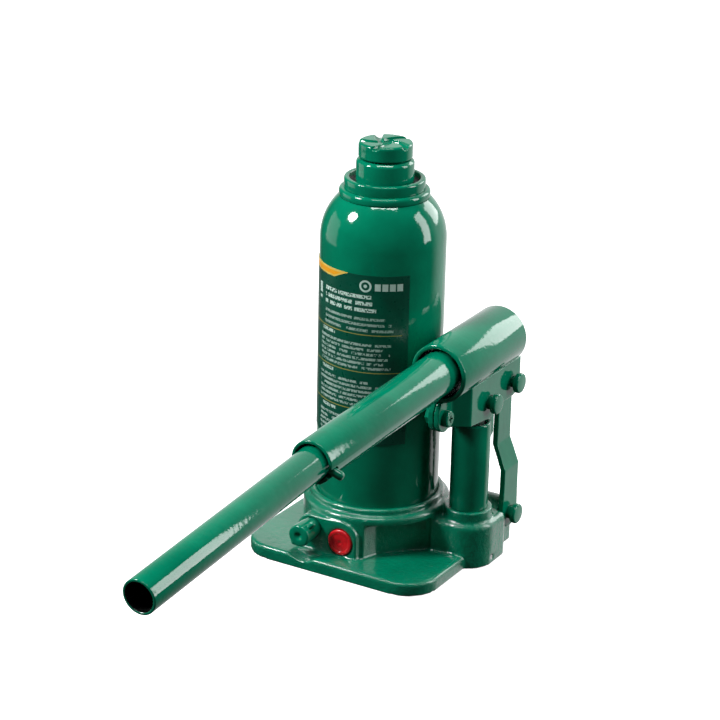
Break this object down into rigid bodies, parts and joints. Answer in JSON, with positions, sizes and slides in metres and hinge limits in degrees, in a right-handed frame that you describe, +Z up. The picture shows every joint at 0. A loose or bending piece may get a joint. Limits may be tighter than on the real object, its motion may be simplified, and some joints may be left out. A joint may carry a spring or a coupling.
{
  "type": "hydraulic bottle jack",
  "caption": "Hand-pumped hydraulic bottle jack with a cast base, oil tank, ram with extension screw, lever pump on links, release valve and two-piece tube handle.",
  "frame": {"origin": "on the underside of the base, on the axis of the ram", "axes": "+Z up along the ram, +Y backwards away from the release valve and the handle's free end, +X along the front edge of the base towards the pump"},
  "size_m": [0.1066, 0.2939, 0.194],
  "materials": {
    "cast_enamel": "glossy green enamel over a rough iron casting",
    "green_enamel": "glossy green enamel on smooth steel",
    "ground_steel": "ground or turned bare steel",
    "spring_steel": "drawn wire and hardened balls",
    "black_rubber": "oil-resistant rubber",
    "copper": "soft copper washer",
    "guide_plastic": "plain bearing plastic",
    "red_plastic": "red plastic cap",
    "printed_label": "dark green printed film"
  },
  "bodies": {
    "root": {"base_casting": "cast_enamel", "tank_shell": "green_enamel", "tank_gasket": "black_rubber", "tank_label": "printed_label", "cylinder_gasket": "copper", "ram_cylinder": "ground_steel", "cylinder_head": "green_enamel", "ram_wiper": "black_rubber", "tank_collar": "green_enamel", "pump_gasket": "copper", "pump_cylinder": "green_enamel", "pump_wiper": "black_rubber", "link_base_pin": "green_enamel", "base_pin_clip": "spring_steel", "suction_plug": "ground_steel", "delivery_plug": "ground_steel", "suction_spring": "spring_steel", "delivery_spring": "spring_steel", "release_ball": "spring_steel", "safety_valve_cap": "red_plastic", "safety_adjuster": "ground_steel", "safety_spring": "spring_steel", "safety_ball": "spring_steel"},
    "ram": {"ram": "ground_steel", "piston": "ground_steel", "piston_seal": "black_rubber", "piston_guide_ring": "guide_plastic"},
    "screw_stop": {"screw_stop_ring": "ground_steel"},
    "extension_screw": {"extension_screw": "green_enamel", "screw_snap_ring": "spring_steel"},
    "plunger": {"plunger": "ground_steel", "plunger_ring": "black_rubber"},
    "links": {"link_plate_left": "green_enamel", "link_plate_right": "green_enamel"},
    "socket": {"handle_socket": "green_enamel", "socket_cheek_left": "green_enamel", "socket_cheek_right": "green_enamel", "plunger_pin": "green_enamel", "link_top_pin": "green_enamel", "socket_pin_clips": "spring_steel", "ear_screw": "green_enamel", "ear_nut": "green_enamel"},
    "handle_outer": {"handle_outer_tube": "green_enamel"},
    "handle_inner": {"handle_inner_tube": "green_enamel", "handle_cross_pin": "green_enamel"},
    "release_valve": {"release_valve": "green_enamel", "release_tommy_bar": "green_enamel"},
    "filler_plug": {"filler_plug": "black_rubber"},
    "suction_ball": {"suction_ball": "spring_steel"},
    "delivery_ball": {"delivery_ball": "spring_steel"}
  },
  "joints": [
    {"name": "ram_lift", "type": "slide", "parent": "root", "child": "ram", "axis": [0, 0, 1], "range_m": [0, 0.118]},
    {"name": "screw_rise", "type": "slide", "parent": "ram", "child": "screw_stop", "axis": [0, 0, 1], "range_m": [0, 0.06]},
    {"name": "screw_turn", "type": "hinge", "parent": "screw_stop", "child": "extension_screw", "pos_m": [0, 0, 0.15], "axis": [0, 0, 1], "range_deg": [0, 7200]},
    {"name": "plunger_stroke", "type": "slide", "parent": "root", "child": "plunger", "axis": [0, 0, 1], "range_m": [0, 0.0182]},
    {"name": "handle_pump", "type": "hinge", "parent": "plunger", "child": "socket", "pos_m": [0.044, 0.008, 0.079], "axis": [-1, 0, 0], "range_deg": [0, 50]},
    {"name": "link_swing", "type": "hinge", "parent": "root", "child": "links", "pos_m": [0.044, 0.0298, 0.017], "axis": [-1, 0, 0], "range_deg": [-3.9, 0]},
    {"name": "handle_withdraw", "type": "slide", "parent": "socket", "child": "handle_outer", "axis": [0, -0.9991, -0.0419], "range_m": [0, 0.034]},
    {"name": "handle_extend", "type": "slide", "parent": "handle_outer", "child": "handle_inner", "axis": [0, -0.9966, -0.0828], "range_m": [0, 0.024]},
    {"name": "release_turn", "type": "hinge", "parent": "root", "child": "release_valve", "pos_m": [-0.0135, -0.04, 0.017], "axis": [0, -1, 0], "range_deg": [0, 540]},
    {"name": "filler_plug_pull", "type": "slide", "parent": "root", "child": "filler_plug", "axis": [0, 1, 0], "range_m": [0, 0.008]},
    {"name": "suction_ball_lift", "type": "slide", "parent": "root", "child": "suction_ball", "axis": [0, 0, 1], "range_m": [0, 0.001], "stiffness_N_per_m": 50, "deforming": ["suction_spring"]},
    {"name": "delivery_ball_lift", "type": "slide", "parent": "root", "child": "delivery_ball", "axis": [0, 0, 1], "range_m": [0, 0.001], "stiffness_N_per_m": 50, "deforming": ["delivery_spring"]}
  ],
  "couplings": [
    {"joint": "screw_rise", "follows": "screw_turn", "m_per_rad": 0.0004774},
    {"joint": "plunger_stroke", "follows": "handle_pump", "m_per_rad": 0.020798},
    {"joint": "link_swing", "follows": "handle_pump", "ratio": -0.077}
  ]
}
